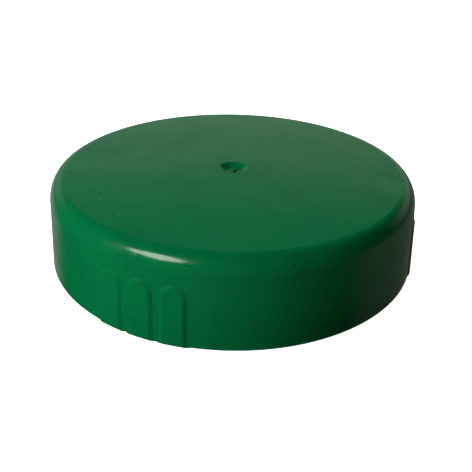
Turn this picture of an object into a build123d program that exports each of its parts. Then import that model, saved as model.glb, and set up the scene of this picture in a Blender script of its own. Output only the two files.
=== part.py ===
"""Screw lid of a wide-mouth disinfectant jar, with its loose sealing disc.

Millimetres, +Z up. The origin is the centre of the rim that the lid stands on,
and -Y is its front. An azimuth is counted from the front, positive towards +X.
The lid is one injection-moulded shell: a flat top with the gate left in a small
dish, a slightly tapered skirt with three groups of grip ribs, and inside it a
plain mouth, one helical thread and a bead that holds the sealing disc up.
"""
from build123d import *
from math import cos, degrees, radians, sin, tan
import os

# ---- the jar neck that the lid screws on ----
neck_radius = 55.8            # over the crest of its thread
neck_thread_depth = 1.05
thread_pitch = 6.0
thread_clearance = 0.4        # radial room between the lid's thread and the neck's
lip_clearance = 0.3           # radial room between the neck's lip and the disc's bead

# ---- the shell ----
lid_height = 27.3
top_wall = 2.2
skirt_draft = 3.8             # degrees, so that the skirt leaves its mould
edge_across = 4.1             # rounded edge between the top and the skirt, along the top
edge_down = 5.5               # and down the skirt, which it leaves more gently
edge_weight = 0.7071          # fullness of that curve: a quarter ellipse
rim_wall = 2.2                # skirt at the rim, beside the plain mouth
rim_round = 0.35              # broken edges of the rim
mouth_step = 1.6              # how far the plain mouth stands back from the thread's root
mouth_depth = 3.5             # rim to the upper end of the plain mouth
pocket_corner = 0.3           # bevel where the disc's pocket meets the top wall

# ---- the lid's thread ----
thread_base = 2.7             # width of the ridge where it leaves the wall
thread_crest = 1.1            # width of its flat crest
thread_margin = 1.6           # plain wall above and below the ridge
thread_fade = 14.0            # degrees over which each end runs out into the wall
thread_root_bury = 0.4        # how far the ridge is let into the wall

# ---- the sealing disc ----
foam_thickness = 1.8
film_thickness = 0.2
disc_clearance = 0.25         # radial room of the loose disc in its pocket
disc_gap = 0.15               # room above the disc
bead_gap = 0.1                # room between the disc and the bead below it
bead_height = 0.6             # how far the bead stands out of the pocket's wall

# ---- the grip ribs ----
rib_group_azimuths = (-24.1, 82.3, 209.1)
ribs_in_group = 3
rib_width = 7.5               # at its foot, on the skirt's surface
rib_pitch = 9.75              # centre to centre, along the rim
rib_proud = 0.45
rib_side_slope = 66.0         # degrees that a rib's sides lean in from upright
rib_edge_round = 1.2
rib_top_margin = 3.4          # plain skirt between a rib's round end and the rounded edge

# ---- the gate ----
gate_radius = 4.6             # dish that keeps the gate's stub below the top
gate_floor_radius = 2.7
gate_depth = 1.3
gate_lip_round = 0.45
gate_floor_round = 0.5
stub_radius = 1.15            # what is left of the runner that filled the mould
stub_tip_radius = 0.9
stub_height = 0.7
spur_radius = 0.3             # torn spurs on the stub
spur_tip_radius = 0.08
# x, y and height of each spur
stub_spurs = ((0.1, 0.35, 0.5), (-0.5, -0.15, 0.4), (0.5, -0.25, 0.45), (0.0, -0.55, 0.35))

# ---- worked out from the above ----
full_turn = 360.0
neck_core_radius = neck_radius - neck_thread_depth
thread_root_radius = neck_radius + thread_clearance
thread_crest_radius = neck_core_radius + thread_clearance
bead_crest_radius = neck_core_radius + lip_clearance
pocket_radius = bead_crest_radius + bead_height
mouth_radius = thread_root_radius + mouth_step
rim_radius = mouth_radius + rim_wall
taper = tan(radians(skirt_draft))

ceiling_z = lid_height - top_wall
disc_radius = pocket_radius - disc_clearance
film_z = ceiling_z - disc_gap - foam_thickness - film_thickness
bead_z = film_z - bead_gap - bead_height
step_height = thread_root_radius - pocket_radius
step_z = bead_z - bead_height - step_height
cone_z = mouth_depth + mouth_step
ridge_bottom_z = cone_z + thread_margin + thread_base / 2
ridge_rise = step_z - thread_margin - thread_base / 2 - ridge_bottom_z
ridge_turns = ridge_rise / thread_pitch


def skirt_radius(z):
    """Outside radius of the plain skirt at height z."""
    return rim_radius - z * taper


def turned(outline):
    """The solid that a closed outline, drawn right of the Z axis, turns into."""
    return revolve(Plane.XZ * make_face(outline), axis=Axis.Z)


def make_blank():
    """The shell as it would be turned: outside, rounded edge, pocket, bores and mouth."""
    edge_end_z = lid_height - edge_down
    edge_start = (skirt_radius(lid_height) - edge_across, lid_height)
    edge_end = (skirt_radius(edge_end_z), edge_end_z)
    corner = (skirt_radius(lid_height), lid_height)
    edge = Bezier(edge_start, corner, edge_end, weights=(1, edge_weight, 1))
    walls = Polyline(
        edge_end,
        (skirt_radius(rim_round), rim_round),
        (rim_radius - rim_round, 0),
        (mouth_radius + rim_round, 0),
        (mouth_radius, rim_round),
        (mouth_radius, mouth_depth),
        (thread_root_radius, cone_z),
        (thread_root_radius, step_z),
        (pocket_radius, step_z + step_height),
        (pocket_radius, ceiling_z - pocket_corner),
        (pocket_radius - pocket_corner, ceiling_z),
        (0, ceiling_z),
        (0, lid_height),
        edge_start,
    )
    return turned(edge + walls)


def make_bead():
    """Half-round ring that keeps the disc from falling out."""
    return Pos(0, 0, bead_z) * Torus(pocket_radius, bead_height)


def ridge_end_cutter(height, toward):
    """Block that makes the ridge's end at this height run out into the wall.

    Its cutting face is a chord from the ridge's crest, one fade in from the end, to
    the wall at the end. toward is +1 at the upper end and -1 at the lower.
    """
    end_angle = full_turn * (height - ridge_bottom_z) / thread_pitch
    chord_start = Vector(thread_crest_radius, 0).rotate(Axis.Z, end_angle - toward * thread_fade)
    chord_end = Vector(thread_root_radius, 0).rotate(Axis.Z, end_angle)
    along = (chord_end - chord_start).normalized()
    inward = along.rotate(Axis.Z, toward * full_turn / 4)
    reach = 3 * (chord_end - chord_start).length
    block = Box(reach, reach, 2 * thread_base, align=(Align.MIN, Align.MIN, Align.CENTER))
    origin = chord_start + Vector(0, 0, height)
    if toward > 0:
        return Plane(origin=origin, x_dir=along, z_dir=(0, 0, 1)) * block
    return Plane(origin=origin, x_dir=inward, z_dir=(0, 0, 1)) * block


def make_ridge():
    """The thread: one trapezoidal ridge on a helix, its crest cut to a true cylinder."""
    bury_radius = thread_root_radius + thread_root_bury
    over_radius = thread_crest_radius - thread_root_bury
    flank = (thread_base - thread_crest) / 2 / (thread_root_radius - thread_crest_radius)
    base_half = thread_base / 2 + flank * thread_root_bury
    over_half = thread_crest / 2 - flank * thread_root_bury
    path = Pos(0, 0, ridge_bottom_z) * Helix(
        pitch=thread_pitch, height=ridge_rise, radius=thread_root_radius
    )
    section = Polyline(
        (bury_radius, ridge_bottom_z - base_half),
        (bury_radius, ridge_bottom_z + base_half),
        (over_radius, ridge_bottom_z + over_half),
        (over_radius, ridge_bottom_z - over_half),
        close=True,
    )
    ridge = sweep(Plane.XZ * make_face(section), path=path, is_frenet=True)
    bore = Pos(0, 0, lid_height / 2) * Cylinder(thread_crest_radius, 2 * lid_height)
    ridge -= bore
    ridge -= ridge_end_cutter(ridge_bottom_z, -1)
    ridge -= ridge_end_cutter(ridge_bottom_z + ridge_rise, 1)
    return ridge


def make_rib(azimuth):
    """One low grip rib with a round upper end and sloping sides, standing out of the skirt."""
    angle = radians(azimuth)
    outward = Vector(sin(angle), -cos(angle), 0)
    sideways = Vector(cos(angle), sin(angle), 0)
    buried = rim_wall / 2
    block_height = buried + 2 * rib_proud
    lean = tan(radians(rib_side_slope))
    rib_top = lid_height - edge_down - rib_top_margin
    half_width = rib_width / 2 + buried * lean
    round_z = rib_top - rib_width / 2
    foot_z = -block_height * lean
    straight = Pos(0, (round_z + foot_z) / 2) * Rectangle(2 * half_width, round_z - foot_z)
    outline = straight + Pos(0, round_z) * Circle(half_width)

    # the plane lies in the middle of the skirt's wall and leans with the skirt
    face_out = outward * cos(radians(skirt_draft)) + Vector(0, 0, sin(radians(skirt_draft)))
    base = Plane(origin=outward * (rim_radius - buried), x_dir=sideways, z_dir=face_out)
    block = extrude(base * outline, amount=block_height, taper=rib_side_slope)

    # the band between the middle of the skirt's wall and the ribs' outer surface, its
    # lower corner broken as the rim's is
    band_radius = skirt_radius(lid_height)
    band = Polyline(
        (rim_radius - buried, 0),
        (rim_radius + rib_proud - rim_round, 0),
        (rim_radius + rib_proud - rim_round * taper, rim_round),
        (band_radius + rib_proud, lid_height),
        (band_radius - buried, lid_height),
        close=True,
    )
    rib = block & turned(band)
    outer_face = rib.faces().sort_by(lambda face: face.center().dot(face_out))[-1]
    sides = outer_face.edges().filter_by(lambda edge: edge.center().Z > rim_round + rib_edge_round)
    return fillet(sides, rib_edge_round)


def make_gate():
    """The dish in the top that the gate's stub stands in, as a solid to take away."""
    floor_z = lid_height - gate_depth
    outline = Polyline(
        (0, floor_z),
        (gate_floor_radius, floor_z),
        (gate_radius, lid_height),
        (gate_radius, lid_height + gate_depth),
        (0, lid_height + gate_depth),
        close=True,
    )
    dish = turned(outline)
    return fillet(dish.faces().sort_by(Axis.Z)[0].edges(), gate_floor_round)


def make_stub():
    """The low cone left where the runner broke off, with the torn spurs on it."""
    upright = (Align.CENTER, Align.CENTER, Align.MIN)
    stub = Cone(stub_radius, stub_tip_radius, stub_height, align=upright)
    for x, y, height in stub_spurs:
        spur = Cone(spur_radius, spur_tip_radius, stub_height + height, align=upright)
        stub += Pos(x, y) * spur
    return Pos(0, 0, lid_height - gate_depth) * stub


def make_lid():
    lid = make_blank() + make_bead() + make_ridge() - make_gate()
    lip = lid.faces().sort_by(Axis.Z)[-1].inner_wires()[0]
    lid = fillet(lip.edges(), gate_lip_round) + make_stub()
    pitch_angle = degrees(rib_pitch / rim_radius)
    for group in rib_group_azimuths:
        for place in range(ribs_in_group):
            lid += make_rib(group + (place - (ribs_in_group - 1) / 2) * pitch_angle)
    return lid


def make_disc(bottom_z, thickness):
    """One layer of the sealing disc, cut round from sheet."""
    return Pos(0, 0, bottom_z) * Cylinder(
        disc_radius, thickness, align=(Align.CENTER, Align.CENTER, Align.MIN)
    )


pieces = {
    "lid": make_lid(),
    "liner_foam": make_disc(film_z + film_thickness, foam_thickness),
    "liner_film": make_disc(film_z, film_thickness),
}
os.makedirs("parts", exist_ok=True)
for node, solid in pieces.items():
    export_step(solid, f"parts/{node}.step")
print(f"rim radius {rim_radius:.2f}, mouth radius {mouth_radius:.2f} to z {mouth_depth:.2f}")
print(f"thread crest radius {thread_crest_radius:.2f}, {ridge_turns:.2f} turns from z {ridge_bottom_z:.2f}")
print(f"disc from z {film_z:.2f}, bead at z {bead_z:.2f}, ceiling at z {ceiling_z:.2f}")
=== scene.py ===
import math

import bpy
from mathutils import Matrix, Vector


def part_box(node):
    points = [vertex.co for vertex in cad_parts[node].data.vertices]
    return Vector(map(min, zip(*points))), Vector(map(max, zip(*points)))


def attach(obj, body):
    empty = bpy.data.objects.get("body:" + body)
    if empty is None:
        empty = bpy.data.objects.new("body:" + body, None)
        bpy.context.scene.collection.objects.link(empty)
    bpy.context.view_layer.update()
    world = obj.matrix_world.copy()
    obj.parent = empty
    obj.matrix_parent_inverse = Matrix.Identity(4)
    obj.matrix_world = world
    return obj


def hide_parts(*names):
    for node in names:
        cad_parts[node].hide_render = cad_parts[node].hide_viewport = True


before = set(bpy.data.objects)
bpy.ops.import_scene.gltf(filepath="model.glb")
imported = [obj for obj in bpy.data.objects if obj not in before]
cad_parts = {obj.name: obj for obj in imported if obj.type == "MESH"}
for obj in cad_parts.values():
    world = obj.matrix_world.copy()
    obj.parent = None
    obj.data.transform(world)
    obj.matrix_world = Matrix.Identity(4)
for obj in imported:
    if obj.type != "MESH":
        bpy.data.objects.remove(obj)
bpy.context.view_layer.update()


# ---- the lid ----
# One injection-moulded shell of polypropylene, dyed through in a dark emerald green.
# Its mould leaves a satin skin, handling leaves fine scratches and specks of dust,
# and the skin lies a little uneven over the top and the thick ribs.
def add(tree, kind, inputs=None, **settings):
    """Add a node, set its settings, and fill or link its inputs."""
    made = tree.nodes.new(kind)
    for setting, value in settings.items():
        setattr(made, setting, value)
    for socket, value in (inputs or {}).items():
        if isinstance(value, bpy.types.NodeSocket):
            tree.links.new(value, made.inputs[socket])
        else:
            made.inputs[socket].default_value = value
    return made


def start_group(name, sockets_in, sockets_out):
    """Begin a node group with float inputs beside its place, and float outputs."""
    group = bpy.data.node_groups.new(name, "ShaderNodeTree")
    group.interface.new_socket("Place", in_out="INPUT", socket_type="NodeSocketVector")
    for socket in sockets_in:
        group.interface.new_socket(socket, in_out="INPUT", socket_type="NodeSocketFloat")
    for socket in sockets_out:
        group.interface.new_socket(socket, in_out="OUTPUT", socket_type="NodeSocketFloat")
    return group, group.nodes.new("NodeGroupInput"), group.nodes.new("NodeGroupOutput")


def between(tree, value, low, high, to_low=0.0, to_high=1.0):
    """A mask that climbs smoothly while the value goes from low to high."""
    return add(tree, "ShaderNodeMapRange", {
        "Value": value, "From Min": low, "From Max": high, "To Min": to_low, "To Max": to_high,
    }, interpolation_type="SMOOTHSTEP").outputs["Result"]


def calc(tree, operation, first, second):
    """The result of one sum on two values."""
    return add(tree, "ShaderNodeMath", {0: first, 1: second}, operation=operation).outputs[0]


# hairline scratches: long thin noise laid in four directions, in patches
hairlines, hair_in, hair_out = start_group("hairline scratches", ("Fineness", "Rarity"), ("Scratches",))
HAIRLINE_TURNS = (0.35, 1.25, 2.05, 2.75)
HAIRLINE_STRETCH = (0.012, 1.0, 0.35)
HAIRLINE_TILT = (0.2, 0.1)  # share of each turn that also tips the pattern
HAIRLINE_EDGE = 0.05
PATCH_SPAN = (0.42, 0.62)
scratches = 0.0
for turn in HAIRLINE_TURNS:
    laid = add(hairlines, "ShaderNodeMapping", {
        "Vector": hair_in.outputs["Place"],
        "Rotation": (HAIRLINE_TILT[0] * turn, HAIRLINE_TILT[1] * turn, turn),
        "Scale": HAIRLINE_STRETCH, "Location": (turn, turn * 2.0, turn),
    })
    strand = add(hairlines, "ShaderNodeTexNoise", {
        "Vector": laid.outputs[0], "Scale": hair_in.outputs["Fineness"], "Detail": 0.0,
    })
    strong = calc(hairlines, "SUBTRACT", strand.outputs[0], hair_in.outputs["Rarity"])
    scratches = calc(hairlines, "MAXIMUM", scratches, between(hairlines, strong, 0.0, HAIRLINE_EDGE))
patches = add(hairlines, "ShaderNodeTexNoise", {
    "Vector": hair_in.outputs["Place"], "Scale": 70.0, "Detail": 2.0,
})
hairlines.links.new(
    calc(hairlines, "MULTIPLY", scratches, between(hairlines, patches.outputs[0], *PATCH_SPAN)),
    hair_out.inputs["Scratches"],
)

# dust: a ragged speck in a few of the cells
RAGGED_SPAN = (0.3, 0.7, 0.3, 1.5)  # noise from, noise to, and the speck's size there
dusting, dust_in, dust_out = start_group("dust", ("Cells", "Size", "Share"), ("Specks",))
wobble = add(dusting, "ShaderNodeTexNoise", {"Vector": dust_in.outputs["Place"], "Scale": 2600.0})
cells = add(dusting, "ShaderNodeTexVoronoi", {
    "Vector": dust_in.outputs["Place"], "Scale": dust_in.outputs["Cells"], "Randomness": 1.0,
})
lot = add(dusting, "ShaderNodeSeparateColor", {"Color": cells.outputs["Color"]})
ragged = calc(
    dusting, "MULTIPLY", dust_in.outputs["Size"], between(dusting, wobble.outputs[0], *RAGGED_SPAN),
)
speck = calc(dusting, "LESS_THAN", cells.outputs["Distance"], ragged)
chosen = calc(dusting, "LESS_THAN", lot.outputs[0], dust_in.outputs["Share"])
dusting.links.new(calc(dusting, "MULTIPLY", speck, chosen), dust_out.inputs["Specks"])

# moulded skin: the mould's fine grain, and the slow waves that cooling leaves
skin, skin_in, skin_out = start_group("moulded skin", ("Grain", "Waves"), ("Grain Height", "Wave Height"))
grain = add(skin, "ShaderNodeTexNoise", {
    "Vector": skin_in.outputs["Place"], "Scale": skin_in.outputs["Grain"], "Detail": 3.0,
})
wave = add(skin, "ShaderNodeTexNoise", {
    "Vector": skin_in.outputs["Place"], "Scale": skin_in.outputs["Waves"], "Detail": 1.0,
})
skin.links.new(grain.outputs[0], skin_out.inputs["Grain Height"])
skin.links.new(wave.outputs[0], skin_out.inputs["Wave Height"])


def finish(name):
    """A new material, its tree, its shader and the place it reads patterns from."""
    material = bpy.data.materials.new(name)
    material.use_nodes = True
    tree = material.node_tree
    place = add(tree, "ShaderNodeTexCoord").outputs["Object"]
    return material, tree, tree.nodes["Principled BSDF"], place


def use(tree, group, place, **values):
    """Place a shared group in a material, with this material's own values."""
    made = tree.nodes.new("ShaderNodeGroup")
    made.node_tree = group
    tree.links.new(place, made.inputs["Place"])
    for name, value in values.items():
        made.inputs[name].default_value = value
    return made


def blend(tree, mask, under, over):
    """Colour that goes from under to over with the mask."""
    mixer = add(tree, "ShaderNodeMix", data_type="RGBA")
    for socket, value in (("Factor", mask), ("A", under), ("B", over)):
        target = next(s for s in mixer.inputs if s.name == socket and s.enabled)
        if isinstance(value, bpy.types.NodeSocket):
            tree.links.new(value, target)
        else:
            target.default_value = value
    return next(s for s in mixer.outputs if s.enabled)


EMERALD = (0.001, 0.132, 0.0405, 1)
DEEP_EMERALD = (0.001, 0.116, 0.040, 1)
BRUISE = (0.004, 0.170, 0.062, 1)
DUST = (0.10, 0.33, 0.20, 1)
STREAK_SPAN = (0.35, 0.65)
CLOUD_SPAN = (0.3, 0.7)
HAIRLINE_COVER = 0.07
DUST_COVER = 0.6

lid_green, tree, shader, place = finish("lid_green")
moulded = use(tree, skin, place, Grain=2400.0, Waves=38.0)
scored = use(tree, hairlines, place, Fineness=4200.0, Rarity=0.66)
rubbed = use(tree, hairlines, place, Fineness=1500.0, Rarity=0.70)
dusty = use(tree, dusting, place, Cells=150.0, Size=0.035, Share=0.45)
fine_dust = use(tree, dusting, place, Cells=420.0, Size=0.05, Share=0.08)

# streaks in the dye spread from the gate in the middle of the top
flow = add(tree, "ShaderNodeVectorMath", {0: place}, operation="NORMALIZE")
streaks = add(tree, "ShaderNodeTexNoise", {"Vector": flow.outputs[0], "Scale": 7.0, "Detail": 4.0})
clouds = add(tree, "ShaderNodeTexNoise", {"Vector": place, "Scale": 85.0, "Detail": 5.0})
mottle = calc(
    tree, "MULTIPLY",
    between(tree, streaks.outputs[0], *STREAK_SPAN), between(tree, clouds.outputs[0], *CLOUD_SPAN),
)
dyed = blend(tree, mottle, EMERALD, DEEP_EMERALD)
hairline = calc(tree, "MAXIMUM", scored.outputs[0], rubbed.outputs[0])
marks = calc(tree, "MULTIPLY", hairline, HAIRLINE_COVER)

# one longer scratch near the right edge of the top
SCRATCH_FROM = Vector((0.0245, -0.0140))
SCRATCH_TO = Vector((0.0440, -0.0258))
SCRATCH_BOW = 1.6  # metres aside for each square metre along
SCRATCH_SIDES = (0.00006, 0.00016)  # its half width, and where it has faded out
SCRATCH_FADE = 0.004  # over each end
SCRATCH_COVER = 0.3
TOP_HEIGHTS = (0.0265, 0.0270)  # the scratch is in the top face only
along = (SCRATCH_TO - SCRATCH_FROM).normalized()
length = (SCRATCH_TO - SCRATCH_FROM).length
spot = add(tree, "ShaderNodeSeparateXYZ", {0: place})
from_x = calc(tree, "SUBTRACT", spot.outputs["X"], SCRATCH_FROM.x)
from_y = calc(tree, "SUBTRACT", spot.outputs["Y"], SCRATCH_FROM.y)
reach = calc(
    tree, "ADD", calc(tree, "MULTIPLY", from_x, along.x), calc(tree, "MULTIPLY", from_y, along.y),
)
aside = calc(
    tree, "SUBTRACT", calc(tree, "MULTIPLY", from_y, along.x), calc(tree, "MULTIPLY", from_x, along.y),
)
bow = calc(tree, "MULTIPLY", calc(tree, "MULTIPLY", reach, reach), SCRATCH_BOW)
bowed = calc(tree, "ADD", aside, bow)
off_line = add(tree, "ShaderNodeMath", {0: bowed}, operation="ABSOLUTE").outputs[0]
on_line = between(tree, off_line, *SCRATCH_SIDES, 1.0, 0.0)
on_length = calc(
    tree, "MULTIPLY",
    between(tree, reach, 0.0, SCRATCH_FADE), between(tree, reach, length - SCRATCH_FADE, length, 1.0, 0.0),
)
on_top = between(tree, spot.outputs["Z"], *TOP_HEIGHTS)
long_scratch = calc(tree, "MULTIPLY", calc(tree, "MULTIPLY", on_line, on_length), on_top)
all_marks = calc(tree, "MAXIMUM", marks, calc(tree, "MULTIPLY", long_scratch, SCRATCH_COVER))
marked = blend(tree, all_marks, dyed, BRUISE)
specks = calc(tree, "MAXIMUM", dusty.outputs[0], fine_dust.outputs[0])
dusted = blend(tree, calc(tree, "MULTIPLY", specks, DUST_COVER), marked, DUST)
tree.links.new(dusted, shader.inputs["Base Color"])

# the skin's finish: satin, duller on marks and dust
SATIN_SPAN = (0.3, 0.7)
SATIN_ROUGHNESS = (0.13, 0.165)
MARK_ROUGHNESS = 0.35
satin = add(tree, "ShaderNodeTexNoise", {"Vector": place, "Scale": 260.0, "Detail": 6.0})
sheen = between(tree, satin.outputs[0], *SATIN_SPAN, *SATIN_ROUGHNESS)
worn = calc(tree, "ADD", sheen, calc(tree, "MULTIPLY", all_marks, MARK_ROUGHNESS))
dulled = calc(tree, "ADD", worn, calc(tree, "MULTIPLY", specks, MARK_ROUGHNESS))
tree.links.new(dulled, shader.inputs["Roughness"])

# its relief, in metres
WAVE_HEIGHT = 0.00025
GRAIN_HEIGHT = 0.0000025
MARK_DEPTH = 0.000004
SPECK_HEIGHT = 0.00003
relief = calc(tree, "MULTIPLY", moulded.outputs["Wave Height"], WAVE_HEIGHT)
relief = calc(tree, "ADD", relief, calc(tree, "MULTIPLY", moulded.outputs["Grain Height"], GRAIN_HEIGHT))
relief = calc(tree, "SUBTRACT", relief, calc(tree, "MULTIPLY", all_marks, MARK_DEPTH))
relief = calc(tree, "ADD", relief, calc(tree, "MULTIPLY", specks, SPECK_HEIGHT))
raised = add(tree, "ShaderNodeBump", {"Height": relief, "Strength": 1.0, "Distance": 1.0})
tree.links.new(raised.outputs[0], shader.inputs["Normal"])
shader.inputs["IOR"].default_value = 1.49
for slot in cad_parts["lid"].material_slots:
    slot.material = lid_green


# ---- the foam of the sealing disc ----
# A disc of white closed-cell polyethylene foam, punched from sheet. Its cut edge shows
# the cells, and it lies loose above the bead inside the lid.
FOAM = (0.80, 0.79, 0.75, 1)
CELL_WALL = (0.62, 0.61, 0.56, 1)
CELLS_PER_METRE = 2200.0
CELL_WALL_SPAN = (0.0, 0.12)
CELL_WALL_COVER = 0.5
AGED_SPAN = (0.45, 0.75)
AGED_COVER = 0.3
CELL_HOLLOW_SPAN = (0.0, 0.25)
CELL_DEPTH = 0.00003

foam_white, tree, shader, place = finish("foam_white")
cells = add(
    tree, "ShaderNodeTexVoronoi", {"Vector": place, "Scale": CELLS_PER_METRE}, feature="DISTANCE_TO_EDGE",
)
cell_edge = between(tree, cells.outputs["Distance"], *CELL_WALL_SPAN, 1.0, 0.0)
aged = add(tree, "ShaderNodeTexNoise", {"Vector": place, "Scale": 60.0, "Detail": 4.0})
foam_tone = blend(tree, calc(tree, "MULTIPLY", cell_edge, CELL_WALL_COVER), FOAM, CELL_WALL)
foam_tone = blend(tree, between(tree, aged.outputs[0], *AGED_SPAN, 0.0, AGED_COVER), foam_tone, CELL_WALL)
tree.links.new(foam_tone, shader.inputs["Base Color"])
tree.links.new(between(tree, cells.outputs["Distance"], 0.0, 0.3, 0.75, 0.55), shader.inputs["Roughness"])
hollow = between(tree, cells.outputs["Distance"], *CELL_HOLLOW_SPAN)
cell_relief = calc(tree, "MULTIPLY", hollow, CELL_DEPTH)
raised = add(tree, "ShaderNodeBump", {"Height": cell_relief, "Strength": 1.0, "Distance": 1.0})
tree.links.new(raised.outputs[0], shader.inputs["Normal"])
shader.inputs["Subsurface Weight"].default_value = 0.15
shader.inputs["Subsurface Radius"].default_value = (0.001, 0.001, 0.001)
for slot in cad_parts["liner_foam"].material_slots:
    slot.material = foam_white


# ---- the film of the sealing disc ----
# A thin glossy film laminated to the foam's underside. The jar's lip has pressed a
# shallow ring into it, and the film between lies slightly slack.
RING_DEPTH = 0.00010
# width and depth of each step inwards from the edge
RING_STEPS = ((0.0009, 0.0), (0.0005, 0.0), (0.0005, -RING_DEPTH), (0.0016, 0.0), (0.0006, RING_DEPTH))
SLACK_RINGS = 15
SLACK_REACH = 0.92  # share of the middle that the rings cover
SLACK_EDGE = 0.0050  # from the film's edge to where the slack begins
SLACK_FADE = 0.01
SLACK_DEPTH = 0.00012
SLACK_SIZE = 0.02
low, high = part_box("liner_film")
film_radius = (high[0] - low[0]) / 2
film_thickness = high[2] - low[2]

bpy.ops.object.select_all(action="DESELECT")
bpy.ops.mesh.primitive_cylinder_add(
    vertices=240, radius=film_radius, depth=film_thickness, end_fill_type="NGON",
    location=(0, 0, (low[2] + high[2]) / 2),
)
film = bpy.context.object
film.name = "sealing_film"
bpy.ops.object.transform_apply(location=True, rotation=True, scale=True)
bpy.ops.object.mode_set(mode="EDIT")
bpy.ops.mesh.select_mode(type="FACE")
bpy.ops.mesh.select_all(action="DESELECT")
bpy.ops.object.mode_set(mode="OBJECT")
for face in film.data.polygons:
    face.select = face.normal.z < -0.9
bpy.ops.object.mode_set(mode="EDIT")
for width, rise in RING_STEPS:
    bpy.ops.mesh.inset(thickness=width, depth=rise)
slack_step = SLACK_REACH * (film_radius - sum(width for width, _ in RING_STEPS)) / SLACK_RINGS
for _ in range(SLACK_RINGS):
    bpy.ops.mesh.inset(thickness=slack_step, depth=0.0)
bpy.ops.mesh.poke()
bpy.ops.object.mode_set(mode="OBJECT")
slack = bpy.data.textures.new("slack film", "CLOUDS")
slack.noise_scale = SLACK_SIZE
loose = film.vertex_groups.new(name="slack")
for corner in film.data.vertices:
    inwards = film_radius - SLACK_EDGE - math.hypot(corner.co.x, corner.co.y)
    if corner.co.z < low[2] + film_thickness / 2 and inwards > 0:
        loose.add([corner.index], min(1.0, inwards / SLACK_FADE), "REPLACE")
waves = film.modifiers.new("slack", "DISPLACE")
waves.texture = slack
waves.texture_coords = "LOCAL"
waves.direction = "Z"
waves.vertex_group = "slack"
waves.mid_level = 0.0
waves.strength = SLACK_DEPTH
bpy.ops.object.modifier_apply(modifier="slack")
bpy.ops.object.select_all(action="DESELECT")
film.select_set(True)
bpy.ops.object.shade_smooth_by_angle(angle=math.radians(35))

FILM = (0.84, 0.84, 0.82, 1)
DULLED = (0.74, 0.76, 0.74, 1)
LIP_INNER = (0.0545, 0.0555)  # radii between which the jar lip's mark comes in
LIP_OUTER = (0.0575, 0.0585)
GRAZE_COVER = 0.4
LIP_COVER = 0.5
FILM_ROUGHNESS = (0.24, 0.55)
FILM_GRAIN_HEIGHT = 0.000006
FILM_WAVE_HEIGHT = 0.0001

film_white, tree, shader, place = finish("film_white")
pressed = use(tree, skin, place, Grain=900.0, Waves=55.0)
grazed = use(tree, hairlines, place, Fineness=3000.0, Rarity=0.68)
out = add(tree, "ShaderNodeVectorMath", {0: place}, operation="LENGTH").outputs["Value"]
lip = calc(tree, "MULTIPLY", between(tree, out, *LIP_INNER), between(tree, out, *LIP_OUTER, 1.0, 0.0))
dull = calc(
    tree, "MAXIMUM",
    calc(tree, "MULTIPLY", grazed.outputs[0], GRAZE_COVER), calc(tree, "MULTIPLY", lip, LIP_COVER),
)
tree.links.new(blend(tree, dull, FILM, DULLED), shader.inputs["Base Color"])
tree.links.new(between(tree, dull, 0.0, 1.0, *FILM_ROUGHNESS), shader.inputs["Roughness"])
film_relief = calc(tree, "MULTIPLY", pressed.outputs["Grain Height"], FILM_GRAIN_HEIGHT)
film_wave = calc(tree, "MULTIPLY", pressed.outputs["Wave Height"], FILM_WAVE_HEIGHT)
film_relief = calc(tree, "ADD", film_relief, film_wave)
raised = add(tree, "ShaderNodeBump", {"Height": film_relief, "Strength": 1.0, "Distance": 1.0})
tree.links.new(raised.outputs[0], shader.inputs["Normal"])
film.data.materials.append(film_white)
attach(film, "liner")
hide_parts("liner_film")


# ---- the studio ----
# A pale floor in even light, which only the camera sees, so that the lid keeps the deep
# shade of its far side. It is paper, laid flat just under the rim.
FLOOR_SIZE = 6.0
FLOOR_Z = -0.0002
PAPER_GREYS = ((0.79, 0.79, 0.79, 1), (0.81, 0.81, 0.81, 1))
bpy.ops.object.select_all(action="DESELECT")
bpy.ops.mesh.primitive_plane_add(size=FLOOR_SIZE, location=(0, 0, FLOOR_Z))
floor = bpy.context.object
floor.name = "floor"
floor.visible_diffuse = False
floor.visible_glossy = False
floor_paper, tree, shader, place = finish("floor_paper")
paper = add(tree, "ShaderNodeTexNoise", {"Vector": place, "Scale": 30.0, "Detail": 3.0})
tree.links.new(blend(tree, paper.outputs[0], *PAPER_GREYS), shader.inputs["Base Color"])
shader.inputs["Roughness"].default_value = 0.9
shader.inputs["Specular IOR Level"].default_value = 0.0
shader.inputs["Emission Color"].default_value = (1, 1, 1, 1)
shader.inputs["Emission Strength"].default_value = 1.0
# from below the floor is see-through, so that the inside of the lid can be looked at
side_seen = add(tree, "ShaderNodeNewGeometry")
clear = add(tree, "ShaderNodeBsdfTransparent")
one_way = add(tree, "ShaderNodeMixShader", {
    0: side_seen.outputs["Backfacing"], 1: shader.outputs[0], 2: clear.outputs[0],
})
surface = next(node for node in tree.nodes if node.type == "OUTPUT_MATERIAL")
tree.links.new(one_way.outputs[0], surface.inputs["Surface"])
floor.data.materials.append(floor_paper)

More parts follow.
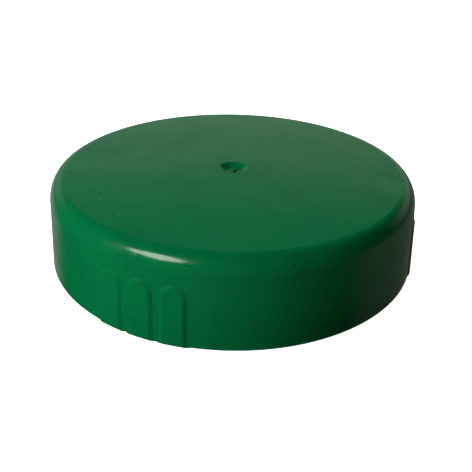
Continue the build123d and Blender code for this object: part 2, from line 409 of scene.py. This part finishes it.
# the shade on the floor close round the rim, which keeps the bounce off the foot of the skirt
SHADE_OUTER = 0.078
SHADE_WIDTH = 0.017
SHADE_Z = -0.0001
SHADE_GREYS = ((0.010, 0.010, 0.010, 1), (0.014, 0.014, 0.014, 1))
bpy.ops.object.select_all(action="DESELECT")
bpy.ops.mesh.primitive_circle_add(
    vertices=120, radius=SHADE_OUTER, fill_type="NGON", location=(0, 0, SHADE_Z),
)
foot_shade = bpy.context.object
foot_shade.name = "foot_shade"
bpy.ops.object.mode_set(mode="EDIT")
bpy.ops.mesh.select_all(action="SELECT")
bpy.ops.mesh.inset(thickness=SHADE_WIDTH, depth=0.0)
bpy.ops.mesh.delete(type="FACE")
bpy.ops.object.mode_set(mode="OBJECT")
foot_shade.visible_camera = False
foot_shade.visible_glossy = False
foot_shade.visible_shadow = False
shade_grey, tree, shader, place = finish("shade_grey")
mottled = add(tree, "ShaderNodeTexNoise", {"Vector": place, "Scale": 30.0, "Detail": 3.0})
tree.links.new(blend(tree, mottled.outputs[0], *SHADE_GREYS), shader.inputs["Base Color"])
shader.inputs["Roughness"].default_value = 1.0
foot_shade.data.materials.append(shade_grey)

# the backdrop: white to the camera; in the lid's gloss a pale wall behind it and a table whose
# glow is stronger at the left; and for the rest a faint bounce from below. Each span gives a
# direction's part from and to, and what the glow is there.
WALL_GLOW = (
    (-0.05, 0.0), (0.05, 0.26), (0.27, 0.38), (0.35, 0.25), (0.42, 0.13), (0.436, 0.03), (0.447, 0.0),
)
WALL_SPAN = (0.3, 0.8)
WALL_LEAN = 0.12  # how far the wall reaches round to the right
TABLE_NEAR = (-0.9, -0.45, 0.0, 0.30)
TABLE_FAR = (-0.2, 0.05, 1.0, 0.0)
TABLE_BEHIND = (0.05, 0.5)
TABLE_LEAN = 0.5
TABLE_ACROSS = (-0.7, 0.7, 1.0, 0.28)
TABLE_RISE = (-0.46, -0.3, 0.92, 1.4)
BOUNCE = (-0.2, 0.2, 0.40, 0.02)
WARM_WHITE = (1.0, 0.97, 0.89, 1)
world = bpy.context.scene.world or bpy.data.worlds.new("studio")
bpy.context.scene.world = world
world.use_nodes = True
tree = world.node_tree
tree.nodes.clear()
toward = add(tree, "ShaderNodeSeparateXYZ", {0: add(tree, "ShaderNodeTexCoord").outputs["Generated"]})
across, behind, rise = (toward.outputs[axis] for axis in "XYZ")
rising = add(tree, "ShaderNodeMapRange", {"Value": rise, "From Min": -1.0})
wall = add(tree, "ShaderNodeValToRGB", {0: rising.outputs[0]})
stops = wall.color_ramp.elements
while len(stops) < len(WALL_GLOW):
    stops.new(0.5)
for stop, (sine, glow) in zip(stops, WALL_GLOW):
    stop.position = (sine + 1) / 2
    stop.color = (glow, glow, glow, 1)
wall_side = calc(tree, "ADD", behind, calc(tree, "MULTIPLY", across, WALL_LEAN))
wall_glow = calc(tree, "MULTIPLY", wall.outputs[0], between(tree, wall_side, *WALL_SPAN))
table_side = calc(tree, "ADD", behind, calc(tree, "MULTIPLY", across, TABLE_LEAN))
table_glow = between(tree, rise, *TABLE_NEAR)
for part, span in (
    (rise, TABLE_FAR), (table_side, TABLE_BEHIND), (across, TABLE_ACROSS), (rise, TABLE_RISE),
):
    table_glow = calc(tree, "MULTIPLY", table_glow, between(tree, part, *span))
mirrored = add(tree, "ShaderNodeBackground", {
    "Color": WARM_WHITE, "Strength": calc(tree, "ADD", wall_glow, table_glow),
})
bounce = add(tree, "ShaderNodeBackground", {
    "Color": (1, 1, 1, 1), "Strength": between(tree, rise, *BOUNCE),
})
seen = add(tree, "ShaderNodeBackground", {"Color": (1, 1, 1, 1)})
path = add(tree, "ShaderNodeLightPath")
for_gloss = add(tree, "ShaderNodeMixShader", {
    0: path.outputs["Is Glossy Ray"], 1: bounce.outputs[0], 2: mirrored.outputs[0],
})
for_camera = add(tree, "ShaderNodeMixShader", {
    0: path.outputs["Is Camera Ray"], 1: for_gloss.outputs[0], 2: seen.outputs[0],
})
add(tree, "ShaderNodeOutputWorld", {"Surface": for_camera.outputs[0]})


def hang_light(name, shape, size, watts, azimuth, elevation, distance):
    """An area light that looks at the lid from an azimuth and an elevation in degrees."""
    data = bpy.data.lights.new(name, "AREA")
    data.shape = shape
    data.size, data.size_y = size
    data.energy = watts
    lamp = bpy.data.objects.new(name, data)
    bpy.context.scene.collection.objects.link(lamp)
    turn, lift = math.radians(azimuth), math.radians(elevation)
    level = math.cos(lift)
    direction = Vector((level * math.sin(turn), -level * math.cos(turn), math.sin(lift)))
    lamp.location = direction * distance
    lamp.rotation_euler = direction.to_track_quat("Z", "Y").to_euler()
    return lamp


softbox = hang_light(
    "softbox", "ELLIPSE", (0.152, 0.10), watts=0.345, azimuth=-41.8, elevation=33.0, distance=0.307,
)
softbox.data.color = (0.97, 1.0, 0.93)
side_card = hang_light(
    "side_card", "RECTANGLE", (0.2, 0.2), watts=1.9, azimuth=-61.0, elevation=21.0, distance=0.5,
)
back_glow = hang_light(
    "back_glow", "RECTANGLE", (0.56, 0.56), watts=8.8, azimuth=175.0, elevation=25.0, distance=0.8,
)
far_card = hang_light(
    "far_card", "RECTANGLE", (0.2, 0.2), watts=0.37, azimuth=110.0, elevation=8.0, distance=0.5,
)
for card in (side_card, back_glow, far_card):
    card.visible_glossy = False


# ---- the camera ----
# It looks down on the lid from the front, a little turned, from close by.
CAMERA_LENS = 47.64
CAMERA_DISTANCE = 0.21737
CAMERA_ELEVATION = 29.489
CAMERA_ROLL = 1.101
CAMERA_SHIFT = (0.00883475, 0.00855932)
camera_data = bpy.data.cameras.new("camera")
camera_data.sensor_width = 36.0
camera_data.lens = CAMERA_LENS
camera_data.clip_start = 0.01
camera_data.shift_x, camera_data.shift_y = CAMERA_SHIFT
camera = bpy.data.objects.new("camera", camera_data)
bpy.context.scene.collection.objects.link(camera)
lift = math.radians(CAMERA_ELEVATION)
camera.location = Vector((0, -math.cos(lift), math.sin(lift))) * CAMERA_DISTANCE
camera.rotation_euler = (math.radians(90 - CAMERA_ELEVATION), 0, 0)
camera.rotation_euler.rotate_axis("Z", math.radians(CAMERA_ROLL))
bpy.context.scene.camera = camera
bpy.context.scene.view_settings.view_transform = "Standard"
